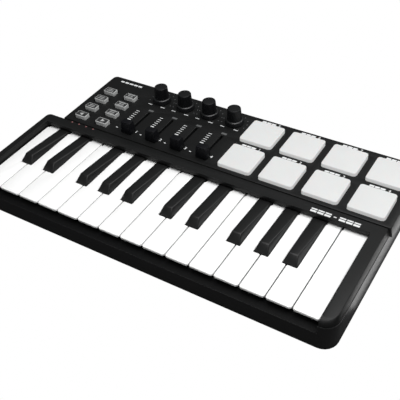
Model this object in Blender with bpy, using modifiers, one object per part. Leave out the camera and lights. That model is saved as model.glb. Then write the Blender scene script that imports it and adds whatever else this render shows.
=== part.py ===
"""A desktop MIDI controller: 25 mini keys, eight pads, eight buttons, four knobs and four faders.

Metres, +Z up. The origin is the centre of the footprint on the surface that it stands on,
+X runs to the player's right and +Y away from the player.
"""

import math

import bmesh
import bpy
from mathutils import Matrix, Vector

# ---------------------------------------------------------------- driving dimensions
# Keys
KEY_PITCH = 0.0200
WHITE_KEYS = 15
KEY_GAP = 0.0009
WHITE_VISIBLE = 0.0830
WHITE_PLATE = 0.0022
WHITE_CORNER = 0.0016
WHITE_REAR_CORNER = 0.0010
WHITE_TAIL_DROP = 0.0012
BLACK_FRONT = 0.0340
BLACK_WIDTH = 0.0109
BLACK_TOP_WIDTH = 0.0074
BLACK_RISE = 0.0058
BLACK_REAR_RISE = 0.0008
BLACK_SLOPE = 0.0055
BLACK_SIDE_GAP = 0.00045
BLACK_FRONT_GAP = 0.0007
NOTCH_CORNER = 0.0006
KEY_RIB = 0.0012
KEY_RIB_DEPTH = 0.0052
KEY_RIB_SPAN = 0.0075
KEY_RIB_START = 0.0075
PIVOT_BEHIND_OPENING = 0.0045
PIVOT_BELOW_TOP = 0.0055
TAIL_HEADROOM = 0.0010
ROD_RADIUS = 0.00125
BOSS_LENGTH = 0.0052
BOSS_WALL = 0.0013
BOSS_SIDE_GAP = 0.0016

# Which white keys have a black key on their right, and how far it sits off the line between them
BLACK_SHIFT = {0: -0.0016, 1: 0.0020, 3: -0.0027, 4: -0.0003, 5: 0.0022}
KEYS_IN_OCTAVE = 7

# Case
LEFT_CHEEK_WIDTH = 0.0082
RIGHT_CHEEK_WIDTH = 0.0116
OPENING_SIDE_GAP = 0.0006
OPENING_BACK_GAP = 0.0012
FRONT_APRON = 0.0053
REAR_BAR = 0.0095
PANEL_DEPTH = 0.0771
PANEL_LEFT_INSET = 0.0183
PANEL_OVERHANG = 0.0018
PANEL_FLANK = 0.00165
PANEL_ABOVE_KEYS = 0.0060
PANEL_FLANK_HEIGHT = 0.0085
FRAME_ABOVE_KEYS = 0.0052
FRAME_STEP_IN = 0.0003
FRAME_FLANK = 0.0017
FRAME_NOSE = 0.0050
FRAME_NOSE_STEPS = 5
FRAME_PARTING_DROP = 0.0004
CASE_HEIGHT = 0.0219
WALL = 0.0020
FLOOR = 0.0020
LEFT_CASE_CORNER = 0.0080
RIGHT_CASE_CORNER = 0.0110
STEP_CORNER = 0.0060
PANEL_CORNER = 0.0040
RAIL_BELOW_KEYS = 0.0076
RAIL_DEPTH = 0.0105
FOOT_HEIGHT = 0.0012
FOOT_DEPTH = 0.0080
FOOT_INSET = 0.0060
FOOT_END_MARGIN = 0.0140

# The lip under the panel that keeps a pad or a button in
FLANGE = 0.0014
FLANGE_HEIGHT = 0.0015

# Gaps, and how far shapes run into each other before they are joined
GAP = 0.0003
WINDOW_GAP = 0.0006
UNDER_PANEL_GAP = 0.0005
OVERLAP = 0.0005

# Pads
PAD_SIZE = 0.0290
PAD_SPACING = 0.0077
PAD_COLUMNS = 4
PAD_ROWS = 2
PAD_PROUD = 0.0025
PAD_CORNER = 0.0022
PAD_TRAVEL = 0.0008
PAD_RIGHT_MARGIN = 0.0089
PAD_FRONT_MARGIN = 0.0047

# Buttons
BUTTON_WIDTH = 0.0115
BUTTON_DEPTH = 0.0070
BUTTON_COLUMN_PITCH = 0.0228
BUTTON_ROW_PITCH = 0.0141
BUTTON_COLUMNS = 2
BUTTON_ROWS = 4
BUTTON_PROUD = 0.0026
BUTTON_CORNER = 0.0012
BUTTON_TRAVEL = 0.0010
BUTTON_LEFT_MARGIN = 0.0094
BUTTON_FRONT_MARGIN = 0.0057

# Knobs and faders
STRIP_PITCH = 0.0250
STRIPS = 4
STRIP_LEFT_MARGIN = 0.0661
FADER_FRONT_MARGIN = 0.0090
FADER_TRAVEL = 0.0300
FADER_CAP_WIDTH = 0.0105
FADER_CAP_DEPTH = 0.0078
FADER_CAP_HEIGHT = 0.0105
FADER_CAP_TAPER = 0.0008
FADER_STEM_WIDTH = 0.0014
FADER_STEM_DEPTH = 0.0024
FADER_SLOT_GAP = 0.0005
KNOB_BEHIND_FADER = 0.0225
KNOB_HEIGHT = 0.0151
KNOB_TOP_RADIUS = 0.00575
KNOB_BASE_RADIUS = 0.0065
KNOB_EDGE = 0.0007
KNOB_RING_WIDTH = 0.0010
KNOB_RING_HEIGHT = 0.0008
KNOB_RING_TOP = 0.0042
KNOB_SKIRT_RADIUS = 0.0082
KNOB_LIFT = 0.0005
SHAFT_RADIUS = 0.0030
SHAFT_GAP = 0.0005

# Inside
BOARD_THICKNESS = 0.0016
BOARD_EDGE_GAP = 0.0020
BOARD_BELOW_PANEL = 0.0072
POT_SIZE = 0.0100
POT_GAP = 0.0007
SLIDE_POT_WIDTH = 0.0080
SLIDE_POT_END = 0.0050
SLIDE_POT_GAP = 0.0018
SWITCH_SIZE = 0.0060
SWITCH_HEIGHT = 0.0020
CHASSIS_THICKNESS = 0.0015
CHASSIS_BELOW_KEYS = 0.0130
CHASSIS_RIB = 0.0016
DOME_STRIP_DEPTH = 0.0080
DOME_STRIP_HEIGHT = 0.0012
DOME_WIDTH = 0.0045
DOME_HEIGHT = 0.0022
DOME_FROM_PIVOT = 0.0290
POST_RADIUS = 0.0042
SCREW_WELL_RADIUS = 0.0030
POST_MARGIN = 0.0120
REAR_POST_MARGIN = 0.0220
KEYBED_POST_MARGIN = 0.0300

# Sockets in the rear wall
USB_WIDTH = 0.0120
USB_HEIGHT = 0.0110
USB_DEPTH = 0.0160
USB_MOUTH_WIDTH = 0.0088
USB_MOUTH_HEIGHT = 0.0082
USB_MOUTH_DEPTH = 0.0100
USB_FROM_LEFT = 0.0550
JACK_SIZE = 0.0130
JACK_DEPTH = 0.0240
JACK_BORE_RADIUS = 0.0033
JACK_BORE_DEPTH = 0.0200
JACK_NOSE_RADIUS = 0.0055
JACK_FROM_USB = 0.0320

ARC_STEPS = 2
CASE_ARC_STEPS = 6
ROUND_SIDES = 20
SMALL_SIDES = 10

# ---------------------------------------------------------------- levels and lines that follow from them
KEYS_WIDTH = KEY_PITCH * WHITE_KEYS
FRAME_WIDTH = LEFT_CHEEK_WIDTH + KEYS_WIDTH + 2 * OPENING_SIDE_GAP + RIGHT_CHEEK_WIDTH
TOTAL_WIDTH = FRAME_WIDTH + PANEL_OVERHANG
OPENING_DEPTH = WHITE_VISIBLE + OPENING_BACK_GAP
FRAME_DEPTH = FRONT_APRON + OPENING_DEPTH + REAR_BAR
TOTAL_DEPTH = FRAME_DEPTH + GAP + PANEL_DEPTH + PANEL_FLANK

FRAME_LEFT = -TOTAL_WIDTH / 2
FRAME_RIGHT = FRAME_LEFT + FRAME_WIDTH
FRONT = -TOTAL_DEPTH / 2
FRAME_BACK = FRONT + FRAME_DEPTH
KEYS_LEFT = FRAME_LEFT + LEFT_CHEEK_WIDTH + OPENING_SIDE_GAP
KEYS_RIGHT = KEYS_LEFT + KEYS_WIDTH
KEYS_FRONT = FRONT + FRONT_APRON
OPENING_LEFT = KEYS_LEFT - OPENING_SIDE_GAP
OPENING_RIGHT = KEYS_RIGHT + OPENING_SIDE_GAP
OPENING_BACK = KEYS_FRONT + OPENING_DEPTH
PIVOT_Y = OPENING_BACK + PIVOT_BEHIND_OPENING
TAIL_END = PIVOT_Y + BOSS_LENGTH / 2

CASE_BASE = FOOT_HEIGHT + GAP
PARTING = CASE_BASE + CASE_HEIGHT
KEY_TOP = PARTING + FRAME_PARTING_DROP
FRAME_TOP = KEY_TOP + FRAME_ABOVE_KEYS
PANEL_TOP = KEY_TOP + PANEL_ABOVE_KEYS
PANEL_LOW = PANEL_TOP - PANEL_FLANK_HEIGHT
PANEL_UNDER = PANEL_TOP - WALL
RAIL_TOP = KEY_TOP - RAIL_BELOW_KEYS
FLOOR_TOP = CASE_BASE + FLOOR
PIVOT_Z = KEY_TOP - PIVOT_BELOW_TOP
CHASSIS_TOP = KEY_TOP - CHASSIS_BELOW_KEYS
CHASSIS_UNDER = CHASSIS_TOP - CHASSIS_THICKNESS
BOARD_TOP = PANEL_UNDER - BOARD_BELOW_PANEL
BOARD_UNDER = BOARD_TOP - BOARD_THICKNESS
PAD_PITCH = PAD_SIZE + PAD_SPACING

PANEL_LEFT = FRAME_LEFT + PANEL_LEFT_INSET
PANEL_RIGHT = FRAME_RIGHT + PANEL_OVERHANG
PANEL_FRONT = FRAME_BACK + GAP
PANEL_BACK = PANEL_FRONT + PANEL_DEPTH + PANEL_FLANK
REAR_LEFT = PANEL_LEFT + PANEL_OVERHANG
REAR_BACK = PANEL_BACK - PANEL_OVERHANG

PARTS = "midi_keyboard"
CUTTERS = "cutters"


# ---------------------------------------------------------------- the scene and its materials
def empty_the_scene():
    for thing in list(bpy.data.objects):
        bpy.data.objects.remove(thing)
    for name in (PARTS, CUTTERS):
        bpy.context.scene.collection.children.link(bpy.data.collections.new(name))


def material(name, colour, roughness, metallic=0.0):
    made = bpy.data.materials.new(name)
    made.use_nodes = True
    shader = made.node_tree.nodes["Principled BSDF"]
    shader.inputs["Base Color"].default_value = (*colour, 1.0)
    shader.inputs["Roughness"].default_value = roughness
    shader.inputs["Metallic"].default_value = metallic
    return made


def all_materials():
    return {
        "case": material("case_plastic", (0.018, 0.019, 0.019), 0.62),
        "lower": material("lower_case_plastic", (0.022, 0.023, 0.024), 0.60),
        "white": material("white_key_plastic", (0.86, 0.86, 0.84), 0.28),
        "black": material("black_key_plastic", (0.016, 0.017, 0.017), 0.40),
        "pad": material("pad_silicone", (0.72, 0.73, 0.72), 0.55),
        "button": material("button_rubber", (0.30, 0.31, 0.31), 0.60),
        "knob": material("knob_rubber", (0.012, 0.013, 0.016), 0.50),
        "fader": material("fader_plastic", (0.012, 0.013, 0.018), 0.48),
        "chassis": material("chassis_plastic", (0.10, 0.10, 0.11), 0.55),
        "steel": material("rod_steel", (0.60, 0.60, 0.62), 0.30, 1.0),
        "rubber": material("contact_rubber", (0.16, 0.17, 0.18), 0.75),
        "board": material("circuit_board", (0.02, 0.10, 0.05), 0.50),
        "socket": material("socket_metal", (0.55, 0.55, 0.57), 0.35, 1.0),
        "jack": material("jack_plastic", (0.02, 0.02, 0.02), 0.45),
        "foot": material("foot_rubber", (0.03, 0.03, 0.03), 0.80),
    }


# ---------------------------------------------------------------- shapes, each added to a bmesh
def add_box(mesh, low, high):
    low, high = Vector(low), Vector(high)
    size = high - low
    place = Matrix.Translation((low + high) / 2) @ Matrix.Diagonal((*size, 1.0))
    bmesh.ops.create_cube(mesh, size=1.0, matrix=place)


def add_cone(mesh, centre, low_radius, high_radius, bottom, top, sides=ROUND_SIDES):
    place = Matrix.Translation((centre[0], centre[1], (bottom + top) / 2))
    bmesh.ops.create_cone(
        mesh,
        cap_ends=True,
        segments=sides,
        radius1=low_radius,
        radius2=high_radius,
        depth=top - bottom,
        matrix=place,
    )


def add_bar(mesh, start, end, radius, sides=SMALL_SIDES):
    """A round bar from one point to another."""
    start, end = Vector(start), Vector(end)
    along = end - start
    turn = Vector((0, 0, 1)).rotation_difference(along).to_matrix().to_4x4()
    place = Matrix.Translation((start + end) / 2) @ turn
    bmesh.ops.create_cone(
        mesh,
        cap_ends=True,
        segments=sides,
        radius1=radius,
        radius2=radius,
        depth=along.length,
        matrix=place,
    )


def add_loft(mesh, rings):
    """A closed solid through rings of points, each ring a list of (x, y) at one height."""
    loops = [[mesh.verts.new((x, y, z)) for x, y in outline] for outline, z in rings]
    for lower, upper in zip(loops, loops[1:]):
        count = len(lower)
        for i in range(count):
            j = (i + 1) % count
            mesh.faces.new((lower[i], lower[j], upper[j], upper[i]))
    mesh.faces.new(list(reversed(loops[0])))
    mesh.faces.new(loops[-1])


def rounded(corners, steps=ARC_STEPS):
    """Points of an outline that runs anticlockwise, from corners (x, y, radius)."""
    points = []
    count = len(corners)
    for i, (x, y, radius) in enumerate(corners):
        here = Vector((x, y))
        if radius == 0:
            points.append((x, y))
            continue
        back = (Vector(corners[i - 1][:2]) - here).normalized()
        ahead = (Vector(corners[(i + 1) % count][:2]) - here).normalized()
        half = back.angle(ahead) / 2
        reach = radius / math.tan(half)
        middle = here + (back + ahead).normalized() * (radius / math.sin(half))
        first = here + back * reach - middle
        last = here + ahead * reach - middle
        sweep = first.angle_signed(last)
        for step in range(steps + 1):
            turn = Matrix.Rotation(-sweep * step / steps, 2)
            points.append(tuple(middle + turn @ first))
    return points


def rectangle(left, right, front, back, radius):
    corners = [(left, front), (right, front), (right, back), (left, back)]
    return rounded([(x, y, radius) for x, y in corners])


def square(x, y, half, radius):
    return rectangle(x - half, x + half, y - half, y + half, radius)


# ---------------------------------------------------------------- objects
def put(name, build, collection, look=None):
    """An object whose mesh is what build adds to a bmesh."""
    mesh = bmesh.new()
    build(mesh)
    bmesh.ops.recalc_face_normals(mesh, faces=mesh.faces)
    data = bpy.data.meshes.new(name)
    mesh.to_mesh(data)
    mesh.free()
    made = bpy.data.objects.new(name, data)
    bpy.data.collections[collection].objects.link(made)
    if look is not None:
        data.materials.append(look)
    return made


def boolean(target, build, operation, label):
    tool = put(f"{target.name}_{label}", build, CUTTERS)
    tool.hide_render = True
    tool.display_type = "WIRE"
    step = target.modifiers.new(label, "BOOLEAN")
    step.operation = operation
    step.solver = "EXACT"
    step.use_self = operation == "UNION"
    step.object = tool


def join(target, build, label="joined"):
    boolean(target, build, "UNION", label)


def cut(target, build, label="cut"):
    boolean(target, build, "DIFFERENCE", label)


def hang_on_joint(piece, place):
    """Parents a piece and its cutters to an empty on its joint, with their origins there."""
    joint = bpy.data.objects.new(f"{piece.name}_joint", None)
    joint.location = place
    bpy.data.collections[PARTS].objects.link(joint)
    back = Matrix.Translation(-Vector(place))
    for thing in [piece] + [step.object for step in piece.modifiers]:
        thing.data.transform(back)
        thing.parent = joint


# ---------------------------------------------------------------- outlines and places
def frame_outline(side, nose):
    """The keybed frame's edge, drawn in by side at the ends and by nose at the front."""
    return rounded(
        [
            (FRAME_LEFT + side, FRONT + nose, LEFT_CASE_CORNER - side),
            (FRAME_RIGHT - side, FRONT + nose, RIGHT_CASE_CORNER - side),
            (FRAME_RIGHT - side, FRAME_BACK, 0),
            (FRAME_LEFT + side, FRAME_BACK, STEP_CORNER - side),
        ],
        CASE_ARC_STEPS,
    )


def case_outline(inset):
    """The bottom case's edge, drawn in by inset: the keybed and the narrower part behind it."""
    return rounded(
        [
            (FRAME_LEFT + inset, FRONT + inset, LEFT_CASE_CORNER - inset),
            (FRAME_RIGHT - inset, FRONT + inset, RIGHT_CASE_CORNER - inset),
            (FRAME_RIGHT - inset, REAR_BACK - inset, PANEL_CORNER - inset),
            (REAR_LEFT + inset, REAR_BACK - inset, PANEL_CORNER - inset),
            (REAR_LEFT + inset, FRAME_BACK - inset, 0),
            (FRAME_LEFT + inset, FRAME_BACK - inset, STEP_CORNER - inset),
        ],
        CASE_ARC_STEPS,
    )


def panel_outline(inset):
    """The control panel's edge, drawn in by inset at the sides and the back."""
    return rounded(
        [
            (PANEL_LEFT + inset, PANEL_FRONT, 0),
            (PANEL_RIGHT - inset, PANEL_FRONT, 0),
            (PANEL_RIGHT - inset, PANEL_BACK - inset, PANEL_CORNER),
            (PANEL_LEFT + inset, PANEL_BACK - inset, PANEL_CORNER),
        ],
        CASE_ARC_STEPS,
    )


def strip_x(strip):
    """The line that a fader and the knob behind it share."""
    return PANEL_LEFT + STRIP_LEFT_MARGIN + strip * STRIP_PITCH


def fader_y():
    """The middle of a fader cap at the front end of its travel."""
    return PANEL_FRONT + FADER_FRONT_MARGIN


def knob_y():
    return fader_y() + FADER_TRAVEL + KNOB_BEHIND_FADER


def pad_places():
    """The middles of the pads, the front row first and each row from the left."""
    right = PANEL_RIGHT - PAD_RIGHT_MARGIN - PAD_SIZE / 2
    left = right - (PAD_COLUMNS - 1) * PAD_PITCH
    front = PANEL_FRONT + PAD_FRONT_MARGIN + PAD_SIZE / 2
    return [
        (left + column * PAD_PITCH, front + row * PAD_PITCH)
        for row in range(PAD_ROWS)
        for column in range(PAD_COLUMNS)
    ]


def button_places():
    """The middles of the buttons, the front row first and each row from the left."""
    left = PANEL_LEFT + BUTTON_LEFT_MARGIN + BUTTON_WIDTH / 2
    front = PANEL_FRONT + BUTTON_FRONT_MARGIN + BUTTON_DEPTH / 2
    return [
        (left + column * BUTTON_COLUMN_PITCH, front + row * BUTTON_ROW_PITCH)
        for row in range(BUTTON_ROWS)
        for column in range(BUTTON_COLUMNS)
    ]


def posts():
    """The posts in the bottom case as (x, y, top): half under the board, half under the keybed."""
    middle = (strip_x(STRIPS - 1) + pad_places()[0][0] - PAD_SIZE / 2) / 2
    columns = (REAR_LEFT + POST_MARGIN, middle, FRAME_RIGHT - POST_MARGIN)
    rows = {
        KEYS_FRONT + KEYBED_POST_MARGIN: CHASSIS_UNDER - GAP,
        PIVOT_Y: CHASSIS_UNDER - GAP,
        PANEL_FRONT + POST_MARGIN: BOARD_UNDER - GAP,
        REAR_BACK - REAR_POST_MARGIN: BOARD_UNDER - GAP,
    }
    return [(x, y, top) for x in columns for y, top in rows.items()]


def usb_place():
    """The middle of the USB socket's face, as (x, z)."""
    return REAR_LEFT + USB_FROM_LEFT, BOARD_UNDER - GAP - USB_HEIGHT / 2


def jack_place():
    """The middle of the pedal jack's face, as (x, z)."""
    return REAR_LEFT + USB_FROM_LEFT + JACK_FROM_USB, BOARD_UNDER - GAP - JACK_SIZE / 2


# ---------------------------------------------------------------- case
def bottom_case(looks):
    rings = [(case_outline(0), CASE_BASE), (case_outline(0), PARTING)]
    body = put("bottom_case", lambda mesh: add_loft(mesh, rings), PARTS, looks["lower"])
    above = PARTING + WALL

    def hollow(mesh):
        add_loft(mesh, [(case_outline(WALL), FLOOR_TOP), (case_outline(WALL), above)])

    def front_rail(mesh):
        """A shelf under the key fronts, and a wall at each end of it up to the parting line."""
        front, back = FRONT + WALL / 2, FRONT + RAIL_DEPTH
        left, right = OPENING_LEFT - WALL, OPENING_RIGHT + WALL
        add_box(mesh, (left, front, RAIL_TOP - WALL), (right, back, RAIL_TOP))
        for start in (left, OPENING_RIGHT):
            low = (start, front, RAIL_TOP - WALL / 2)
            add_box(mesh, low, (start + WALL, back, PARTING))

    def all_posts(mesh):
        for x, y, top in posts():
            floor = FLOOR_TOP - OVERLAP
            add_cone(mesh, (x, y), POST_RADIUS, POST_RADIUS, floor, top, SMALL_SIDES)

    def lowered_walls(mesh):
        low = (OPENING_LEFT, FRONT - WALL, RAIL_TOP)
        add_box(mesh, low, (OPENING_RIGHT, FRONT + WALL * 2, above))
        low = (PANEL_LEFT - WALL, PANEL_FRONT - GAP, PANEL_LOW - GAP)
        add_box(mesh, low, (PANEL_RIGHT + WALL, PANEL_BACK + WALL, above))

    def screw_wells(mesh):
        for x, y, top in posts():
            below, end = CASE_BASE - FLOOR, top - WALL
            add_cone(mesh, (x, y), SCREW_WELL_RADIUS, SCREW_WELL_RADIUS, below, end, SMALL_SIDES)

    def socket_holes(mesh):
        """A notch for the USB socket, open up to the panel's lip, and a round hole for the jack."""
        x, z = usb_place()
        wide, tall = USB_WIDTH / 2 + GAP, USB_HEIGHT / 2 + GAP
        low = (x - wide, REAR_BACK - WALL * 2, z - tall)
        add_box(mesh, low, (x + wide, REAR_BACK + WALL, above))
        x, z = jack_place()
        start, end = (x, REAR_BACK - WALL * 2, z), (x, REAR_BACK + WALL, z)
        add_bar(mesh, start, end, JACK_NOSE_RADIUS + GAP, ROUND_SIDES)

    cut(body, hollow, "hollow")
    join(body, front_rail, "front_rail")
    join(body, all_posts, "posts")
    cut(body, lowered_walls, "lowered_walls")
    cut(body, screw_wells, "screw_wells")
    cut(body, socket_holes, "socket_holes")


def keybed_frame(looks):
    """A bar behind the keys and a cheek at each end, whose front ends round down to the case."""
    low = PARTING + GAP
    rings = []
    for step in range(FRAME_NOSE_STEPS + 1):
        turn = math.radians(90 * step / FRAME_NOSE_STEPS)
        side = FRAME_STEP_IN + FRAME_FLANK * math.sin(turn)
        nose = FRAME_STEP_IN + FRAME_NOSE * (1 - math.cos(turn))
        rings.append((frame_outline(side, nose), low + (FRAME_TOP - low) * math.sin(turn)))
    body = put("keybed_frame", lambda mesh: add_loft(mesh, rings), PARTS, looks["case"])

    def key_opening(mesh):
        start = (OPENING_LEFT, FRONT - WALL, low - WALL)
        add_box(mesh, start, (OPENING_RIGHT, OPENING_BACK, FRAME_TOP + WALL))

    def room_for_key_tails(mesh):
        start = (OPENING_LEFT, OPENING_BACK - WALL, low - WALL)
        add_box(mesh, start, (OPENING_RIGHT, FRAME_BACK - WALL, KEY_TOP + TAIL_HEADROOM))

    cut(body, key_opening, "key_opening")
    cut(body, room_for_key_tails, "room_for_key_tails")


def control_panel(looks):
    rings = [(panel_outline(0), PANEL_LOW), (panel_outline(PANEL_FLANK), PANEL_TOP)]
    body = put("control_panel", lambda mesh: add_loft(mesh, rings), PARTS, looks["case"])
    low, high = PANEL_UNDER - OVERLAP, PANEL_TOP + WALL

    def hollow(mesh):
        wall = PANEL_FLANK + WALL
        left, right = PANEL_LEFT + wall, PANEL_RIGHT - wall
        start = (left, PANEL_FRONT + WALL, PANEL_LOW - WALL)
        add_box(mesh, start, (right, PANEL_BACK - wall, PANEL_UNDER))

    def pad_windows(mesh):
        for x, y in pad_places():
            outline = square(x, y, PAD_SIZE / 2 + WINDOW_GAP, PAD_CORNER + WINDOW_GAP)
            add_loft(mesh, [(outline, low), (outline, high)])

    def button_windows(mesh):
        wide, deep = BUTTON_WIDTH / 2 + WINDOW_GAP, BUTTON_DEPTH / 2 + WINDOW_GAP
        for x, y in button_places():
            add_box(mesh, (x - wide, y - deep, low), (x + wide, y + deep, high))

    def slots_and_holes(mesh):
        wide = FADER_STEM_WIDTH / 2 + FADER_SLOT_GAP
        end = FADER_STEM_DEPTH / 2 + FADER_SLOT_GAP
        hole = SHAFT_RADIUS + SHAFT_GAP
        for strip in range(STRIPS):
            x = strip_x(strip)
            start = (x - wide, fader_y() - end, low)
            add_box(mesh, start, (x + wide, fader_y() + FADER_TRAVEL + end, high))
            add_cone(mesh, (x, knob_y()), hole, hole, low, high)

    cut(body, hollow, "hollow")
    cut(body, pad_windows, "pad_windows")
    cut(body, button_windows, "button_windows")
    cut(body, slots_and_holes, "slots_and_holes")


def foot_strips(looks):
    right = FRAME_RIGHT - FOOT_END_MARGIN
    radius = FOOT_DEPTH / 2 - OVERLAP
    strips = {
        "front_foot_strip": (FRAME_LEFT + FOOT_END_MARGIN, FRONT + FOOT_INSET),
        "rear_foot_strip": (REAR_LEFT + FOOT_END_MARGIN, REAR_BACK - FOOT_INSET - FOOT_DEPTH),
    }
    for name, (left, front) in strips.items():
        outline = rectangle(left, right, front, front + FOOT_DEPTH, radius)
        rings = [(outline, 0.0), (outline, FOOT_HEIGHT)]
        put(name, lambda mesh: add_loft(mesh, rings), PARTS, looks["foot"])


# ---------------------------------------------------------------- keys
def has_black_after(white):
    """Whether a black key stands between this white key and the next."""
    return 0 <= white < WHITE_KEYS - 1 and white % KEYS_IN_OCTAVE in BLACK_SHIFT


def black_centre(white):
    return KEYS_LEFT + (white + 1) * KEY_PITCH + BLACK_SHIFT[white % KEYS_IN_OCTAVE]


def tail_sides(white):
    """The two sides of a white key where it passes between black keys."""
    left = KEYS_LEFT + white * KEY_PITCH + KEY_GAP / 2
    right = left + KEY_PITCH - KEY_GAP
    clear = BLACK_WIDTH / 2 + BLACK_SIDE_GAP
    if has_black_after(white - 1):
        left = black_centre(white - 1) + clear
    if has_black_after(white):
        right = black_centre(white) - clear
    return left, right


def finish_key(key, left, right, start):
    """Two ribs under the key, and the block behind the opening that turns on the rod."""
    middle = (left + right) / 2
    under = KEY_TOP - WHITE_PLATE
    hole = ROD_RADIUS + GAP

    def works(mesh):
        for side in (-1, 1):
            x = middle + side * KEY_RIB_SPAN / 2
            low = (x - KEY_RIB / 2, start + KEY_RIB_START, under - KEY_RIB_DEPTH)
            add_box(mesh, low, (x + KEY_RIB / 2, PIVOT_Y, under + OVERLAP))
        low = (left + BOSS_SIDE_GAP, PIVOT_Y - BOSS_LENGTH / 2, PIVOT_Z - hole - BOSS_WALL)
        high = (right - BOSS_SIDE_GAP, TAIL_END, under + OVERLAP)
        add_box(mesh, low, high)

    def rod_hole(mesh):
        beyond = KEY_PITCH
        ends = (left - beyond, PIVOT_Y, PIVOT_Z), (right + beyond, PIVOT_Y, PIVOT_Z)
        add_bar(mesh, *ends, hole)

    join(key, works, "works")
    cut(key, rod_hole, "rod_hole")
    hang_on_joint(key, (middle, PIVOT_Y, PIVOT_Z))


def white_key(white, looks):
    """A plate that ends just short of the bar behind it, and a lower tail that runs on under it."""
    left = KEYS_LEFT + white * KEY_PITCH + KEY_GAP / 2
    right = left + KEY_PITCH - KEY_GAP
    tail_left, tail_right = tail_sides(white)
    shoulder = KEYS_FRONT + BLACK_FRONT - BLACK_FRONT_GAP
    back = KEYS_FRONT + WHITE_VISIBLE
    corners = [(left, KEYS_FRONT, WHITE_CORNER), (right, KEYS_FRONT, WHITE_CORNER)]
    if has_black_after(white):
        corners += [(right, shoulder, NOTCH_CORNER), (tail_right, shoulder, NOTCH_CORNER)]
    corners += [(tail_right, back, WHITE_REAR_CORNER), (tail_left, back, WHITE_REAR_CORNER)]
    if has_black_after(white - 1):
        corners += [(tail_left, shoulder, NOTCH_CORNER), (left, shoulder, NOTCH_CORNER)]
    outline = rounded(corners)
    rings = [(outline, KEY_TOP - WHITE_PLATE), (outline, KEY_TOP)]
    name = f"white_key_{white + 1:02d}"
    key = put(name, lambda mesh: add_loft(mesh, rings), PARTS, looks["white"])

    def tail(mesh):
        low = (tail_left + GAP, back - WHITE_REAR_CORNER - WALL, KEY_TOP - WHITE_PLATE)
        add_box(mesh, low, (tail_right - GAP, TAIL_END, KEY_TOP - WHITE_TAIL_DROP))

    join(key, tail, "tail")
    finish_key(key, tail_left, tail_right, KEYS_FRONT)


def black_key(number, white, looks):
    middle = black_centre(white)
    front = KEYS_FRONT + BLACK_FRONT
    back = OPENING_BACK - BLACK_FRONT_GAP
    half, top_half = BLACK_WIDTH / 2, BLACK_TOP_WIDTH / 2

    def plate(mesh):
        low = (middle - half, front, KEY_TOP - WHITE_PLATE)
        add_box(mesh, low, (middle + half, TAIL_END, KEY_TOP))

    def top(mesh):
        low = rectangle(middle - half, middle + half, front, back, 0)
        left, right = middle - top_half, middle + top_half
        high = rectangle(left, right, front + BLACK_SLOPE, back, 0)
        sunk = (low, KEY_TOP - OVERLAP)
        add_loft(mesh, [sunk, (low, KEY_TOP), (high, KEY_TOP + BLACK_RISE)])
        rear_half = half - (half - top_half) * BLACK_REAR_RISE / BLACK_RISE
        for corner in mesh.verts:
            if corner.co.z > KEY_TOP + OVERLAP and corner.co.y > back - OVERLAP:
                corner.co.x = middle + math.copysign(rear_half, corner.co.x - middle)
                corner.co.z = KEY_TOP + BLACK_REAR_RISE

    key = put(f"black_key_{number:02d}", plate, PARTS, looks["black"])
    join(key, top, "top")
    finish_key(key, middle - half, middle + half, front)


def keys(looks):
    for white in range(WHITE_KEYS):
        white_key(white, looks)
    with_black = [white for white in range(WHITE_KEYS) if has_black_after(white)]
    for number, white in enumerate(with_black, start=1):
        black_key(number, white, looks)


# ---------------------------------------------------------------- pads, buttons, knobs and faders
def pads(looks):
    bottom, top = BOARD_TOP + PAD_TRAVEL + GAP, PANEL_TOP + PAD_PROUD
    flange_top = PANEL_UNDER - UNDER_PANEL_GAP
    for number, (x, y) in enumerate(pad_places(), start=1):
        outline = square(x, y, PAD_SIZE / 2, PAD_CORNER)
        rings = [(outline, bottom), (outline, top)]
        pad = put(f"pad_{number}", lambda mesh: add_loft(mesh, rings), PARTS, looks["pad"])
        half = PAD_SIZE / 2 + FLANGE
        low = (x - half, y - half, flange_top - FLANGE_HEIGHT)
        high = (x + half, y + half, flange_top)
        join(pad, lambda mesh: add_box(mesh, low, high), "flange")
        hang_on_joint(pad, (x, y, PANEL_TOP))


def buttons(looks):
    wide, deep = BUTTON_WIDTH / 2, BUTTON_DEPTH / 2
    bottom = BOARD_TOP + SWITCH_HEIGHT + BUTTON_TRAVEL + GAP
    top = PANEL_TOP + BUTTON_PROUD
    flange_top = PANEL_UNDER - UNDER_PANEL_GAP
    for number, (x, y) in enumerate(button_places(), start=1):
        outline = rectangle(x - wide, x + wide, y - deep, y + deep, BUTTON_CORNER)
        rings = [(outline, bottom), (outline, top)]
        button = put(f"button_{number}", lambda mesh: add_loft(mesh, rings), PARTS, looks["button"])
        low = (x - wide - FLANGE, y - deep - FLANGE, flange_top - FLANGE_HEIGHT)
        high = (x + wide + FLANGE, y + deep + FLANGE, flange_top)
        join(button, lambda mesh: add_box(mesh, low, high), "flange")
        hang_on_joint(button, (x, y, PANEL_TOP))


def knob_profile():
    """A knob's outer side and its shaft, from the top down, as (radius, height) over the panel."""
    top, ring_radius = KNOB_HEIGHT, KNOB_BASE_RADIUS + KNOB_RING_WIDTH
    shaft_end = PANEL_UNDER - POT_GAP + GAP - PANEL_TOP
    return [
        (0.0, top),
        (KNOB_TOP_RADIUS - KNOB_EDGE, top),
        (KNOB_TOP_RADIUS, top - KNOB_EDGE),
        (KNOB_BASE_RADIUS, KNOB_RING_TOP),
        (ring_radius, KNOB_RING_TOP),
        (ring_radius, KNOB_RING_TOP - KNOB_RING_HEIGHT),
        (KNOB_SKIRT_RADIUS, KNOB_LIFT),
        (SHAFT_RADIUS, KNOB_LIFT),
        (SHAFT_RADIUS, shaft_end),
        (0.0, shaft_end),
    ]


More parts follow.
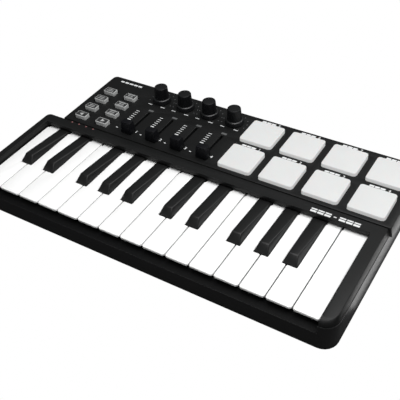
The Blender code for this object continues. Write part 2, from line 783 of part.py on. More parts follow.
def knobs(looks):
    profile = knob_profile()
    edges = [(i, i + 1) for i in range(len(profile) - 1)]
    data = bpy.data.meshes.new("knob")
    data.from_pydata([(radius, 0.0, height) for radius, height in profile], edges, [])
    data.materials.append(looks["knob"])
    for strip in range(STRIPS):
        knob = bpy.data.objects.new(f"knob_{strip + 1}", data)
        bpy.data.collections[PARTS].objects.link(knob)
        knob.location = (strip_x(strip), knob_y(), PANEL_TOP)
        turn = knob.modifiers.new("turned", "SCREW")
        turn.steps = turn.render_steps = ROUND_SIDES
        turn.use_merge_vertices = True
        turn.merge_threshold = 0.00001
        turn.use_smooth_shade = True


def fader_caps(looks):
    wide, deep = FADER_CAP_WIDTH / 2, FADER_CAP_DEPTH / 2
    bottom = PANEL_TOP + UNDER_PANEL_GAP
    top = bottom + FADER_CAP_HEIGHT
    y = fader_y()
    for strip in range(STRIPS):
        x = strip_x(strip)
        foot = rectangle(x - wide, x + wide, y - deep, y + deep, NOTCH_CORNER)
        half_wide, half_deep = wide - FADER_CAP_TAPER, deep - FADER_CAP_TAPER
        left, right = x - half_wide, x + half_wide
        head = rectangle(left, right, y - half_deep, y + half_deep, NOTCH_CORNER)
        rings = [(foot, bottom), (head, top)]
        name = f"fader_cap_{strip + 1}"
        cap = put(name, lambda mesh: add_loft(mesh, rings), PARTS, looks["fader"])
        half_wide, half_deep = FADER_STEM_WIDTH / 2, FADER_STEM_DEPTH / 2
        low = (x - half_wide, y - half_deep, PANEL_UNDER - SLIDE_POT_GAP + GAP)
        high = (x + half_wide, y + half_deep, bottom + OVERLAP)
        join(cap, lambda mesh: add_box(mesh, low, high), "stem")
        hang_on_joint(cap, (x, y, PANEL_TOP))


# ---------------------------------------------------------------- inside the case
def key_chassis(looks):
    """A plate under the keys with ribs that hold the rod: at the ends and between plain keys."""
    front = FRONT + RAIL_DEPTH + WALL
    back = FRAME_BACK - WALL - GAP

    def plate(mesh):
        add_box(mesh, (KEYS_LEFT, front, CHASSIS_UNDER), (KEYS_RIGHT, back, CHASSIS_TOP))

    def ribs(mesh):
        plain = [white for white in range(WHITE_KEYS - 1) if not has_black_after(white)]
        middles = [KEYS_LEFT + (white + 1) * KEY_PITCH for white in plain]
        middles += [KEYS_LEFT + CHASSIS_RIB / 2, KEYS_RIGHT - CHASSIS_RIB / 2]
        for x in middles:
            low = (x - CHASSIS_RIB / 2, PIVOT_Y - BOSS_LENGTH / 2, CHASSIS_TOP - OVERLAP)
            high = (x + CHASSIS_RIB / 2, TAIL_END, PIVOT_Z + ROD_RADIUS + GAP + BOSS_WALL)
            add_box(mesh, low, high)

    def rod_holes(mesh):
        ends = (KEYS_LEFT - WALL, PIVOT_Y, PIVOT_Z), (KEYS_RIGHT + WALL, PIVOT_Y, PIVOT_Z)
        add_bar(mesh, *ends, ROD_RADIUS + GAP)

    body = put("key_chassis", plate, PARTS, looks["chassis"])
    join(body, ribs, "ribs")
    cut(body, rod_holes, "rod_holes")


def key_pivot_rod(looks):
    ends = (KEYS_LEFT, PIVOT_Y, PIVOT_Z), (KEYS_RIGHT, PIVOT_Y, PIVOT_Z)
    put("key_pivot_rod", lambda mesh: add_bar(mesh, *ends, ROD_RADIUS), PARTS, looks["steel"])


def contact_strip(looks):
    """One moulded rubber strip with a dome under each key, as low as a pressed key leaves it."""
    middle = PIVOT_Y - DOME_FROM_PIVOT
    low = CHASSIS_TOP + GAP
    top = low + DOME_STRIP_HEIGHT
    half, reach = DOME_STRIP_DEPTH / 2, DOME_WIDTH / 2
    left, right = KEYS_LEFT + KEY_GAP, KEYS_RIGHT - KEY_GAP

    def domes(mesh):
        whites = range(WHITE_KEYS)
        under_keys = [sum(tail_sides(white)) / 2 for white in whites]
        under_keys += [black_centre(white) for white in whites if has_black_after(white)]
        for x in under_keys:
            start = (x - reach, middle - reach, top - OVERLAP)
            add_box(mesh, start, (x + reach, middle + reach, top + DOME_HEIGHT))

    def strip(mesh):
        add_box(mesh, (left, middle - half, low), (right, middle + half, top))

    body = put("contact_strip", strip, PARTS, looks["rubber"])
    join(body, domes, "domes")


def main_board(looks):
    """The circuit board, with the pots, slide pots and switches that are soldered on it."""
    inset = WALL + BOARD_EDGE_GAP
    left, right = REAR_LEFT + inset, FRAME_RIGHT - inset
    front, back = PANEL_FRONT + inset, REAR_BACK - inset
    sunk = BOARD_TOP - OVERLAP

    def plate(mesh):
        add_box(mesh, (left, front, BOARD_UNDER), (right, back, BOARD_TOP))

    def pots(mesh):
        half = POT_SIZE / 2
        for strip in range(STRIPS):
            x, y = strip_x(strip), knob_y()
            add_box(mesh, (x - half, y - half, sunk), (x + half, y + half, PANEL_UNDER - POT_GAP))

    def slide_pots(mesh):
        half = SLIDE_POT_WIDTH / 2
        start, end = fader_y() - SLIDE_POT_END, fader_y() + FADER_TRAVEL + SLIDE_POT_END
        for strip in range(STRIPS):
            x = strip_x(strip)
            add_box(mesh, (x - half, start, sunk), (x + half, end, PANEL_UNDER - SLIDE_POT_GAP))

    def switches(mesh):
        half = SWITCH_SIZE / 2
        for x, y in button_places():
            low = (x - half, y - half, sunk)
            add_box(mesh, low, (x + half, y + half, BOARD_TOP + SWITCH_HEIGHT))

    body = put("main_board", plate, PARTS, looks["board"])
    join(body, pots, "pots")
    join(body, slide_pots, "slide_pots")
    join(body, switches, "switches")


# ---------------------------------------------------------------- sockets in the rear wall
def usb_socket(looks):
    x, z = usb_place()
    face = REAR_BACK - GAP

    def shell(mesh):
        wide, tall = USB_WIDTH / 2, USB_HEIGHT / 2
        add_box(mesh, (x - wide, face - USB_DEPTH, z - tall), (x + wide, face, z + tall))

    def mouth(mesh):
        wide, tall = USB_MOUTH_WIDTH / 2, USB_MOUTH_HEIGHT / 2
        low = (x - wide, face - USB_MOUTH_DEPTH, z - tall)
        add_box(mesh, low, (x + wide, face + WALL, z + tall))

    body = put("usb_socket", shell, PARTS, looks["socket"])
    cut(body, mouth, "mouth")


def pedal_jack(looks):
    x, z = jack_place()
    half = JACK_SIZE / 2
    inner = REAR_BACK - WALL - GAP

    def block(mesh):
        add_box(mesh, (x - half, inner - JACK_DEPTH, z - half), (x + half, inner, z + half))

    def nose(mesh):
        ends = (x, inner - OVERLAP, z), (x, REAR_BACK - GAP, z)
        add_bar(mesh, *ends, JACK_NOSE_RADIUS, ROUND_SIDES)

    def bore(mesh):
        ends = (x, REAR_BACK - JACK_BORE_DEPTH, z), (x, REAR_BACK + WALL, z)
        add_bar(mesh, *ends, JACK_BORE_RADIUS, ROUND_SIDES)

    body = put("pedal_jack", block, PARTS, looks["jack"])
    join(body, nose, "nose")
    cut(body, bore, "bore")


# ---------------------------------------------------------------- all of it
empty_the_scene()
LOOKS = all_materials()
bottom_case(LOOKS)
keybed_frame(LOOKS)
control_panel(LOOKS)
foot_strips(LOOKS)
keys(LOOKS)
pads(LOOKS)
buttons(LOOKS)
knobs(LOOKS)
fader_caps(LOOKS)
key_chassis(LOOKS)
key_pivot_rod(LOOKS)
contact_strip(LOOKS)
main_board(LOOKS)
usb_socket(LOOKS)
pedal_jack(LOOKS)
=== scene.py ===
"""A desktop midi keyboard: mini keys in a keybed frame, a control panel and a lower case."""

import math

import bpy
from mathutils import Matrix, Vector


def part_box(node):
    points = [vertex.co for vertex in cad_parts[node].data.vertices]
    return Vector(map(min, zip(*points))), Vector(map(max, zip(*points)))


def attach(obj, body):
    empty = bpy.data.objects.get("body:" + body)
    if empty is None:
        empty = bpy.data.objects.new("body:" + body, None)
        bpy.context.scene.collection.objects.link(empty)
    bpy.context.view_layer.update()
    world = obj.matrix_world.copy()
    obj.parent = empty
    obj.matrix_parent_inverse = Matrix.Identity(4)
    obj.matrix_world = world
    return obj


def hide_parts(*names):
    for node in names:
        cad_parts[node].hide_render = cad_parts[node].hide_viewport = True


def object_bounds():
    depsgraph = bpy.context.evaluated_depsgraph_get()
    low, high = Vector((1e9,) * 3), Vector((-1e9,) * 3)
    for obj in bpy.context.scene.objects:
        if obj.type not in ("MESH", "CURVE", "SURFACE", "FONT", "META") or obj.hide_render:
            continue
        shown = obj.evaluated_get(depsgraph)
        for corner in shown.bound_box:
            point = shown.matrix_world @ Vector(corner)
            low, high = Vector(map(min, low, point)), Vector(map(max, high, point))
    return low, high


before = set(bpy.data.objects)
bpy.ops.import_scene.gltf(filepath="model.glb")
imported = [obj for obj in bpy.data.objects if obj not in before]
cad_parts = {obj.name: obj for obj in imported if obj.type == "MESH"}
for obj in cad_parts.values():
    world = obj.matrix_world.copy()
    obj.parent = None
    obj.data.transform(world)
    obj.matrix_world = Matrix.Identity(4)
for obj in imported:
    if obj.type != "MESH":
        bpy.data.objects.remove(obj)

cad_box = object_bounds()

# ---------------------------------------------------------------- the studio
# A pale table top that the keyboard stands on. A large soft light hangs overhead, smaller ones
# stand behind on the right and in front, and a white card lies on the table at the right.
CAMERA_AZIMUTH = math.radians(34.4)
CAMERA_ELEVATION = math.radians(41.85)
CAMERA_ROLL = math.radians(-4.45)
CAMERA_DISTANCE = 0.5291
CAMERA_LENS = 61.8
TABLE_WHITE = 1.0
ROOM_GLOW = 0.10
CARD_GAP = 0.004
CARD_WIDTH = 0.030

first_key_low, first_key_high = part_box("white_key_01")
look_at = Vector((first_key_low.x + 0.17195, first_key_low.y + 0.0620, first_key_high.z))
turned = Matrix.Rotation(CAMERA_AZIMUTH, 4, "Z")
turned = turned @ Matrix.Rotation(math.pi / 2 - CAMERA_ELEVATION, 4, "X")
turned = turned @ Matrix.Rotation(CAMERA_ROLL, 4, "Z")
to_camera = (turned @ Vector((0, 0, 1))).normalized()
camera_data = bpy.data.cameras.new("camera")
camera_data.lens = CAMERA_LENS
camera_data.clip_start = 0.01
camera = bpy.data.objects.new("camera", camera_data)
camera.matrix_world = Matrix.Translation(look_at + to_camera * CAMERA_DISTANCE) @ turned
bpy.context.scene.collection.objects.link(camera)
bpy.context.scene.camera = camera

bpy.context.scene.view_settings.view_transform = "Standard"


def softbox(name, place, width, depth, power):
    """A rectangular light that faces the middle of the keyboard."""
    data = bpy.data.lights.new(name, "AREA")
    data.shape = "RECTANGLE"
    data.size = width
    data.size_y = depth
    data.energy = power
    light = bpy.data.objects.new(name, data)
    light.location = place
    light.rotation_euler = (look_at - Vector(place)).to_track_quat("-Z", "Y").to_euler()
    bpy.context.scene.collection.objects.link(light)


softbox("overhead_light", (0.25, -0.10, 1.0), 1.1, 0.9, 15)
softbox("back_right_light", (0.55, 0.80, 0.85), 0.5, 0.5, 3)
softbox("front_fill_light", (-0.10, -1.1, 0.55), 0.8, 0.4, 0.5)


def seen_and_lit(name, seen_strength, lit):
    """A material that glows evenly to the camera, and is what lit makes of it otherwise."""
    look = bpy.data.materials.new(name)
    look.use_nodes = True
    nodes, links = look.node_tree.nodes, look.node_tree.links
    shader = nodes["Principled BSDF"]
    shader.inputs["Roughness"].default_value = 0.7
    lit(shader)
    glow = nodes.new("ShaderNodeEmission")
    glow.inputs["Strength"].default_value = seen_strength
    kind = nodes.new("ShaderNodeLightPath")
    choose = nodes.new("ShaderNodeMixShader")
    links.new(kind.outputs["Is Camera Ray"], choose.inputs[0])
    links.new(shader.outputs[0], choose.inputs[1])
    links.new(glow.outputs[0], choose.inputs[2])
    links.new(choose.outputs[0], nodes["Material Output"].inputs["Surface"])
    return look


def dim(shader):
    shader.inputs["Base Color"].default_value = (0.05, 0.05, 0.05, 1)


def glowing(shader):
    shader.inputs["Base Color"].default_value = (0.8, 0.8, 0.8, 1)
    shader.inputs["Emission Color"].default_value = (1.0, 0.995, 0.99, 1)
    shader.inputs["Emission Strength"].default_value = 1.6


def lying_sheet(name, left, right, front, back, level, look):
    """A flat sheet on the table, with its place in its mesh."""
    bpy.ops.object.select_all(action="DESELECT")
    bpy.ops.mesh.primitive_plane_add(size=1, location=(0, 0, 0))
    sheet = bpy.context.object
    sheet.name = sheet.data.name = name
    size = Matrix.Diagonal((right - left, back - front, 1, 1))
    sheet.data.transform(Matrix.Translation(((left + right) / 2, (front + back) / 2, level)) @ size)
    sheet.data.materials.append(look)
    return sheet


table_look = seen_and_lit("table_top", TABLE_WHITE, dim)
lying_sheet("table_top", -6, 6, -6, 6, -0.0002, table_look)
card_look = seen_and_lit("white_card", TABLE_WHITE, glowing)
card_left = cad_box[1].x + CARD_GAP
card = lying_sheet("white_card", card_left, card_left + CARD_WIDTH, -0.045, 0.3, -0.0001, card_look)
card.visible_camera = False

world = bpy.data.worlds.new("studio")
world.use_nodes = True
world_nodes, world_links = world.node_tree.nodes, world.node_tree.links
background = world_nodes["Background"]
background.inputs["Color"].default_value = (0.95, 0.98, 1.0, 1)
world_kind = world_nodes.new("ShaderNodeLightPath")
strength = world_nodes.new("ShaderNodeMapRange")
strength.inputs["To Min"].default_value = ROOM_GLOW
strength.inputs["To Max"].default_value = TABLE_WHITE
world_links.new(world_kind.outputs["Is Camera Ray"], strength.inputs["Value"])
world_links.new(strength.outputs["Result"], background.inputs["Strength"])
bpy.context.scene.world = world

# ---------------------------------------------------------------- lower case
# A tray of black moulded plastic with posts inside, open where the sockets come through its rear
# wall. Its outer face has the fine matt texture of a spark-eroded mould. The top of the shelf in
# front of the keys gets a darker, almost unglossy copy of the plastic: painted shade for the
# shadow under the keys.
SEAM_EDGE = 0.0002
SHELF_DEPTH = 0.0125
SHELF_ENDS = 0.008


def moulded_surface():
    """A node group for moulded plastic and rubber: cloudy colour and gloss, and a fine bump."""
    group = bpy.data.node_groups.new("moulded_surface", "ShaderNodeTree")
    face = group.interface
    for name, kind, value in (
        ("Colour", "NodeSocketColor", (0.02, 0.02, 0.02, 1)),
        ("Cloud Colour", "NodeSocketColor", (0.03, 0.03, 0.03, 1)),
        ("Cloud Scale", "NodeSocketFloat", 60.0),
        ("Roughness", "NodeSocketFloat", 0.5),
        ("Roughness Spread", "NodeSocketFloat", 0.1),
        ("Grain Scale", "NodeSocketFloat", 2500.0),
        ("Grain Depth", "NodeSocketFloat", 0.00002),
    ):
        socket = face.new_socket(name, in_out="INPUT", socket_type=kind)
        socket.default_value = value
    face.new_socket("Base Color", in_out="OUTPUT", socket_type="NodeSocketColor")
    face.new_socket("Roughness", in_out="OUTPUT", socket_type="NodeSocketFloat")
    face.new_socket("Normal", in_out="OUTPUT", socket_type="NodeSocketVector")
    nodes, links = group.nodes, group.links
    inside = nodes.new("NodeGroupInput")
    outside = nodes.new("NodeGroupOutput")
    where = nodes.new("ShaderNodeTexCoord")
    cloud = nodes.new("ShaderNodeTexNoise")
    cloud.inputs["Detail"].default_value = 3.0
    links.new(where.outputs["Object"], cloud.inputs["Vector"])
    links.new(inside.outputs["Cloud Scale"], cloud.inputs["Scale"])
    tint = nodes.new("ShaderNodeMix")
    tint.data_type = "RGBA"
    links.new(cloud.outputs["Fac"], tint.inputs["Factor"])
    links.new(inside.outputs["Colour"], tint.inputs["A"])
    links.new(inside.outputs["Cloud Colour"], tint.inputs["B"])
    links.new(tint.outputs["Result"], outside.inputs["Base Color"])
    spread = nodes.new("ShaderNodeMath")
    spread.operation = "MULTIPLY_ADD"
    links.new(cloud.outputs["Fac"], spread.inputs[0])
    links.new(inside.outputs["Roughness Spread"], spread.inputs[1])
    links.new(inside.outputs["Roughness"], spread.inputs[2])
    links.new(spread.outputs[0], outside.inputs["Roughness"])
    grain = nodes.new("ShaderNodeTexNoise")
    grain.inputs["Detail"].default_value = 2.0
    links.new(where.outputs["Object"], grain.inputs["Vector"])
    links.new(inside.outputs["Grain Scale"], grain.inputs["Scale"])
    bump = nodes.new("ShaderNodeBump")
    bump.inputs["Strength"].default_value = 1.0
    links.new(inside.outputs["Grain Depth"], bump.inputs["Distance"])
    links.new(grain.outputs["Fac"], bump.inputs["Height"])
    links.new(bump.outputs["Normal"], outside.inputs["Normal"])
    return group


MOULDED_SURFACE = moulded_surface()


def moulded(name, colour, cloud, roughness, spread=0.1, grain=2500.0, depth=0.00002, clouds=60.0):
    """A material for one moulded plastic or rubber; cloud is the colour that it drifts towards."""
    look = bpy.data.materials.new(name)
    look.use_nodes = True
    nodes, links = look.node_tree.nodes, look.node_tree.links
    surface = nodes.new("ShaderNodeGroup")
    surface.node_tree = MOULDED_SURFACE
    surface.inputs["Colour"].default_value = (*colour, 1)
    surface.inputs["Cloud Colour"].default_value = (*cloud, 1)
    surface.inputs["Cloud Scale"].default_value = clouds
    surface.inputs["Roughness"].default_value = roughness
    surface.inputs["Roughness Spread"].default_value = spread
    surface.inputs["Grain Scale"].default_value = grain
    surface.inputs["Grain Depth"].default_value = depth
    shader = nodes["Principled BSDF"]
    for output in ("Base Color", "Roughness", "Normal"):
        links.new(surface.outputs[output], shader.inputs[output])
    return look


def shader_of(look):
    return look.node_tree.nodes["Principled BSDF"]


def only(piece):
    """Leaves one piece selected and active."""
    bpy.ops.object.select_all(action="DESELECT")
    piece.select_set(True)
    bpy.context.view_layer.objects.active = piece


def copy_of(node, name):
    """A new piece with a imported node's shape, its doubled points merged and flat faces whole."""
    piece = bpy.data.objects.new(name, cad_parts[node].data.copy())
    bpy.context.scene.collection.objects.link(piece)
    only(piece)
    bpy.ops.mesh.customdata_custom_splitnormals_clear()
    bpy.ops.object.mode_set(mode="EDIT")
    bpy.ops.mesh.select_all(action="SELECT")
    bpy.ops.mesh.remove_doubles(threshold=0.000001)
    bpy.ops.mesh.dissolve_limited(angle_limit=math.radians(0.5))
    bpy.ops.object.mode_set(mode="OBJECT")
    piece.data.materials.clear()
    return piece


def soften(piece, width, segments, keep=lambda middle: True, sharpness=28):
    """Rounds the sharp edges whose middles keep says yes to, and shades the piece smooth."""
    only(piece)
    bpy.ops.object.mode_set(mode="EDIT")
    bpy.context.tool_settings.mesh_select_mode = (False, True, False)
    bpy.ops.mesh.select_all(action="DESELECT")
    bpy.ops.mesh.edges_select_sharp(sharpness=math.radians(sharpness))
    bpy.ops.object.mode_set(mode="OBJECT")
    mesh = piece.data
    weight = mesh.attributes.new("bevel_weight_edge", "FLOAT", "EDGE")
    for edge in mesh.edges:
        middle = (mesh.vertices[edge.vertices[0]].co + mesh.vertices[edge.vertices[1]].co) / 2
        weight.data[edge.index].value = float(edge.select and keep(middle))
    bevel = piece.modifiers.new("rounded", "BEVEL")
    bevel.limit_method = "WEIGHT"
    bevel.width = width
    bevel.segments = segments
    bevel.use_clamp_overlap = False
    bpy.ops.object.modifier_apply(modifier="rounded")
    mesh.attributes.remove(mesh.attributes["bevel_weight_edge"])
    bpy.ops.object.shade_smooth_by_angle(angle=math.radians(38))


def fit_out(piece, look, body, slot, *nodes):
    """Gives a finished piece its material, the body it moves with and the nodes it stands for."""
    piece.data.materials.append(look)
    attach(piece, body)
    if nodes:
        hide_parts(*nodes)


lower_look = moulded("lower_case_plastic", (0.0045, 0.0046, 0.0048), (0.0065, 0.0066, 0.0070), 0.42)
shader_of(lower_look).inputs["Specular IOR Level"].default_value = 0.38
case_low, case_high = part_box("bottom_case")
lower_case = copy_of("bottom_case", "lower_case")
near_bottom = case_low.z + 0.0001


def on_lower_case_outside(middle):
    inset = 0.0001
    on_side = middle.x < case_low.x + inset or middle.x > case_high.x - inset
    on_end = middle.y < case_low.y + inset or middle.y > case_high.y - inset
    return middle.z < near_bottom or on_side or on_end


soften(lower_case, SEAM_EDGE, 2, on_lower_case_outside)
fit_out(lower_case, lower_look, "case", "lower_case_plastic", "bottom_case")

# Painted shade: the shelf's upward faces between the cheeks get a darker, barely glossy copy of the
# case plastic for the shadow under the white keys' fronts.
shelf_painted_shade_look = moulded("shelf_painted_shade_plastic", (0.0030, 0.0031, 0.0032), (0.0042, 0.0043, 0.0045), 0.55)
shader_of(shelf_painted_shade_look).inputs["Specular IOR Level"].default_value = 0.08
lower_case.data.materials.append(shelf_painted_shade_look)
for face in lower_case.data.polygons:
    between_ends = case_low.x + SHELF_ENDS < face.center.x < case_high.x - SHELF_ENDS
    on_shelf = between_ends and face.center.y < case_low.y + SHELF_DEPTH
    if on_shelf and face.normal.z > 0.9:
        face.material_index = 1

# ---------------------------------------------------------------- keybed frame
# One moulding round the keys: a flat bar behind them and a cheek at each end, with sloping outer
# sides and front ends that round down to the lower case. The same black plastic, a little finer.
FRAME_EDGE = 0.00035
SEAM_CLOSING = 0.0002

case_look = moulded("case_plastic", (0.0040, 0.0042, 0.0042), (0.0056, 0.0058, 0.0058), 0.46)
shader_of(case_look).inputs["Specular IOR Level"].default_value = 0.27
keybed_low, keybed_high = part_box("keybed_frame")
keybed = copy_of("keybed_frame", "keybed_surround")
for corner in keybed.data.vertices:
    if corner.co.z < keybed_low.z + 0.00005:
        corner.co.z = keybed_low.z - SEAM_CLOSING
soften(keybed, FRAME_EDGE, 3, lambda middle: True, 24)
fit_out(keybed, case_look, "case", "case_plastic", "keybed_frame")

# ---------------------------------------------------------------- control panel
# A lid of the same plastic over the electronics, a little higher than the keybed frame, with
# square windows for pads, small ones for buttons, a slot for each fader and a hole for each knob.
PANEL_EDGE = 0.00035

panel_look = moulded("panel_plastic", (0.0040, 0.0042, 0.0042), (0.0056, 0.0058, 0.0058), 0.44)
shader_of(panel_look).inputs["Specular IOR Level"].default_value = 0.27

panel_low, panel_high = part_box("control_panel")
panel = copy_of("control_panel", "panel_lid")


def on_panel_rim(middle):
    rim = 0.0003
    return middle.z > panel_high.z - rim or middle.z < panel_low.z + rim


soften(panel, PANEL_EDGE, 3, on_panel_rim)
fit_out(panel, panel_look, "case", "case_plastic", "control_panel")

# ---------------------------------------------------------------- white keys
# Fifteen hollow keys of glossy white plastic. Each is a thin plate, notched beside the black keys,
# on two ribs that run back to the rod which it turns on. The front corners are rounded.
WHITE_EDGE = 0.00045
WHITE_REAR_TRIM = 0.0006
WHITE_PLATE_REAR = 0.078

white_look = moulded(
    "white_key_plastic", (0.86, 0.86, 0.855), (0.89, 0.89, 0.885), 0.22, 0.06, 400.0, 0.000004
)
shader_of(white_look).inputs["Coat Weight"].default_value = 0.15
white_nodes = sorted(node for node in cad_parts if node.startswith("white_key"))
for node in white_nodes:
    low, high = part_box(node)
    key = copy_of(node, node + "_cap")
    for corner in key.data.vertices:
        if corner.co.z > high.z - 0.0004 and corner.co.y > low.y + WHITE_PLATE_REAR:
            corner.co.y -= WHITE_REAR_TRIM
    soften(key, WHITE_EDGE, 3, lambda middle: middle.z > high.z - 0.0025)
    fit_out(key, white_look, node, "white_key_plastic", node)

# ---------------------------------------------------------------- black keys
# Ten narrow keys of satin black plastic that stand up between the white ones, with sloping sides,
# a steeper front and a soft edge round the top that catches the light.
BLACK_EDGE = 0.00075

black_look = moulded(
    "black_key_plastic",
    (0.0050, 0.0052, 0.0052),
    (0.0070, 0.0072, 0.0072),
    0.36,
    0.08,
    1800.0,
    0.00001,
)
shader_of(black_look).inputs["Specular IOR Level"].default_value = 0.40
black_nodes = sorted(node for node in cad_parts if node.startswith("black_key"))
for node in black_nodes:
    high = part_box(node)[1]
    key = copy_of(node, node + "_cap")
    soften(key, BLACK_EDGE, 3, lambda middle: middle.z > high.z - 0.0045)
    fit_out(key, black_look, node, "black_key_plastic", node)

# ---------------------------------------------------------------- drum pads
# Eight square pads of translucent white silicone, with rounded corners and soft top edges. They
# glow faintly and evenly: painted light that brightens their shaded sides, with no lamp inside.
# Each one is pressed down by the fingers.
PAD_CORNER = 0.0022
PAD_TOP_EDGE = 0.0007

pad_painted_glow_look = moulded(
    "pad_silicone", (0.33, 0.334, 0.33), (0.36, 0.364, 0.36), 0.48, 0.08, 1200.0, 0.00001
)
# Painted light: this even glow lights the pads' shaded sides; nothing inside them shines.
shader_of(pad_painted_glow_look).inputs["Emission Color"].default_value = (1.0, 1.0, 0.995, 1)
shader_of(pad_painted_glow_look).inputs["Emission Strength"].default_value = 0.34
shader_of(pad_painted_glow_look).inputs["Subsurface Weight"].default_value = 0.12
shader_of(pad_painted_glow_look).inputs["Subsurface Scale"].default_value = 0.002


def select_edges(piece, chosen):
    """Goes into edit mode with only the edges selected whose two ends chosen says yes to."""
    only(piece)
    bpy.ops.object.mode_set(mode="EDIT")
    bpy.context.tool_settings.mesh_select_mode = (False, True, False)
    bpy.ops.mesh.select_all(action="DESELECT")
    bpy.ops.object.mode_set(mode="OBJECT")
    mesh = piece.data
    for edge in mesh.edges:
        edge.select = chosen(*(mesh.vertices[i].co for i in edge.vertices))
    bpy.ops.object.mode_set(mode="EDIT")


def block(name, low, high):
    """A box between two corners, with its place in its mesh."""
    bpy.ops.object.select_all(action="DESELECT")
    bpy.ops.mesh.primitive_cube_add(size=1, location=(0, 0, 0))
    piece = bpy.context.object
    piece.name = piece.data.name = name
    middle, size = (Vector(low) + Vector(high)) / 2, Vector(high) - Vector(low)
    piece.data.transform(Matrix.Translation(middle) @ Matrix.Diagonal((*size, 1)))
    return piece


def round_upright_edges(piece, radius, segments):
    """Rounds the four upright corners of a block."""
    select_edges(piece, lambda a, b: abs(a.z - b.z) > 0.0001)
    bpy.ops.mesh.bevel(offset=radius, segments=segments, affect="EDGES")
    bpy.ops.object.mode_set(mode="OBJECT")


def round_top_edge(piece, radius, segments):
    """Rounds the edge round a block's top."""
    top = max(corner.co.z for corner in piece.data.vertices) - 0.00001
    select_edges(piece, lambda a, b: a.z > top and b.z > top)
    bpy.ops.mesh.bevel(offset=radius, segments=segments, affect="EDGES")
    bpy.ops.object.mode_set(mode="OBJECT")
    bpy.ops.object.shade_smooth_by_angle(angle=math.radians(35))


pad_nodes = sorted(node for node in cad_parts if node.startswith("pad_"))
pad_boxes = {}
for node in pad_nodes:
    low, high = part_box(node)
    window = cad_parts[node].data.vertices
    tops = [corner.co for corner in window if corner.co.z > high.z - 0.0001]
    left, right = min(co.x for co in tops), max(co.x for co in tops)
    front, back = min(co.y for co in tops), max(co.y for co in tops)
    pad_boxes[node] = (left, right, front, back)
    pad = block(node + "_cap", (left, front, low.z), (right, back, high.z))
    round_upright_edges(pad, PAD_CORNER, 6)
    round_top_edge(pad, PAD_TOP_EDGE, 4)
    fit_out(pad, pad_painted_glow_look, node, "pad_silicone", node)

# ---------------------------------------------------------------- buttons
# Eight small rubber buttons in two columns, moulded in pale grey, with a dark pad-printed top and
# a plain paler sign on it: a triangle to the left or right to step, or lines for a mode.
BUTTON_CORNER = 0.0012
BUTTON_TOP_EDGE = 0.0004
BUTTON_INK_MARGIN = 0.0007
INK = 0.00004
TRIANGLE_REACH = 0.0024
LINE_STEP = 0.0020
LINE_HALF_DEPTH = 0.00035

button_look = moulded(
    "button_rubber", (0.34, 0.345, 0.34), (0.40, 0.405, 0.40), 0.50, 0.08, 1600.0, 0.00001
)
ink_look = moulded("button_ink", (0.014, 0.0145, 0.015), (0.022, 0.0225, 0.023), 0.5, 0.08)
sign_look = moulded("button_sign", (0.36, 0.365, 0.36), (0.42, 0.425, 0.42), 0.50, 0.08)


def top_rectangle(node):
    """The flat top of a node as (left, right, front, back, level)."""
    low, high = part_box(node)
    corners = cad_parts[node].data.vertices
    tops = [corner.co for corner in corners if corner.co.z > high.z - 0.0001]
    left, right = min(co.x for co in tops), max(co.x for co in tops)
    return left, right, min(co.y for co in tops), max(co.y for co in tops), high.z


def joined(name, pieces):
    """Makes one piece of several."""
    bpy.ops.object.select_all(action="DESELECT")
    for piece in pieces:
        piece.select_set(True)
    bpy.context.view_layer.objects.active = pieces[0]
    bpy.ops.object.join()
    pieces[0].name = pieces[0].data.name = name
    return pieces[0]


def triangle(x, y, z, reach, quarter_turns):
    """A flat triangle of ink that points to the back, turned about its middle."""
    bpy.ops.object.select_all(action="DESELECT")
    bpy.ops.mesh.primitive_cylinder_add(vertices=3, radius=reach, depth=INK, location=(0, 0, 0))
    piece = bpy.context.object
    turn = Matrix.Rotation(quarter_turns * math.pi / 2, 4, "Z")
    piece.data.transform(Matrix.Translation((x, y, z)) @ turn)
    return piece


button_nodes = sorted(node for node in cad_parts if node.startswith("button_"))
for number, node in enumerate(button_nodes):
    low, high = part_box(node)
    left, right, front, back, top = top_rectangle(node)
    button = block(node + "_cap", (left, front, low.z), (right, back, top))
    round_upright_edges(button, BUTTON_CORNER, 4)
    round_top_edge(button, BUTTON_TOP_EDGE, 3)
    fit_out(button, button_look, node, "button_rubber", node)
    margin = BUTTON_INK_MARGIN
    print_low = (left + margin, front + margin, top - INK / 2)
    ink = block(node + "_ink", print_low, (right - margin, back - margin, top + INK / 2))
    round_upright_edges(ink, BUTTON_CORNER / 2, 3)
    fit_out(ink, ink_look, node, "button_rubber")
    x, y = (left + right) / 2, (front + back) / 2
    level = top + INK
    if number < 2:
        signs = [triangle(x, y, level, TRIANGLE_REACH, 3 if number else 1)]
    else:
        lines = 2 + number % 2
        signs = []
        for line in range(lines):
            across = y + (line - (lines - 1) / 2) * LINE_STEP
            half = 0.0036 - 0.0008 * (line % 2)
            line_low = (x - half, across - LINE_HALF_DEPTH, level - INK / 2)
            line_high = (x + half, across + LINE_HALF_DEPTH, level + INK / 2)
            signs.append(block("line", line_low, line_high))
    sign = joined(node + "_sign", signs)
    fit_out(sign, sign_look, node, "button_rubber")

# ---------------------------------------------------------------- knobs
# Four rotary knobs of black rubber: a tapering grip with a flat top, a glossier ring round its foot
# and a flared skirt over the panel. The flat top and the ring are paler copies of the grip's
# rubber:
# painted light on the top and a painted highlight on the ring, whose gloss is real. Each is pressed
# onto the shaft of its pot.
knob_look = moulded(
    "knob_rubber", (0.0026, 0.0028, 0.0034), (0.0036, 0.0038, 0.0046), 0.42, 0.08, 1500.0, 0.00001
)
# Painted light: the flat top is a paler copy of the grip's rubber, for the light that falls on it.
knob_top_painted_light_look = moulded(
    "knob_top", (0.0035, 0.0037, 0.0040), (0.0048, 0.0050, 0.0054), 0.5, 0.08, 1500.0, 0.00001
)
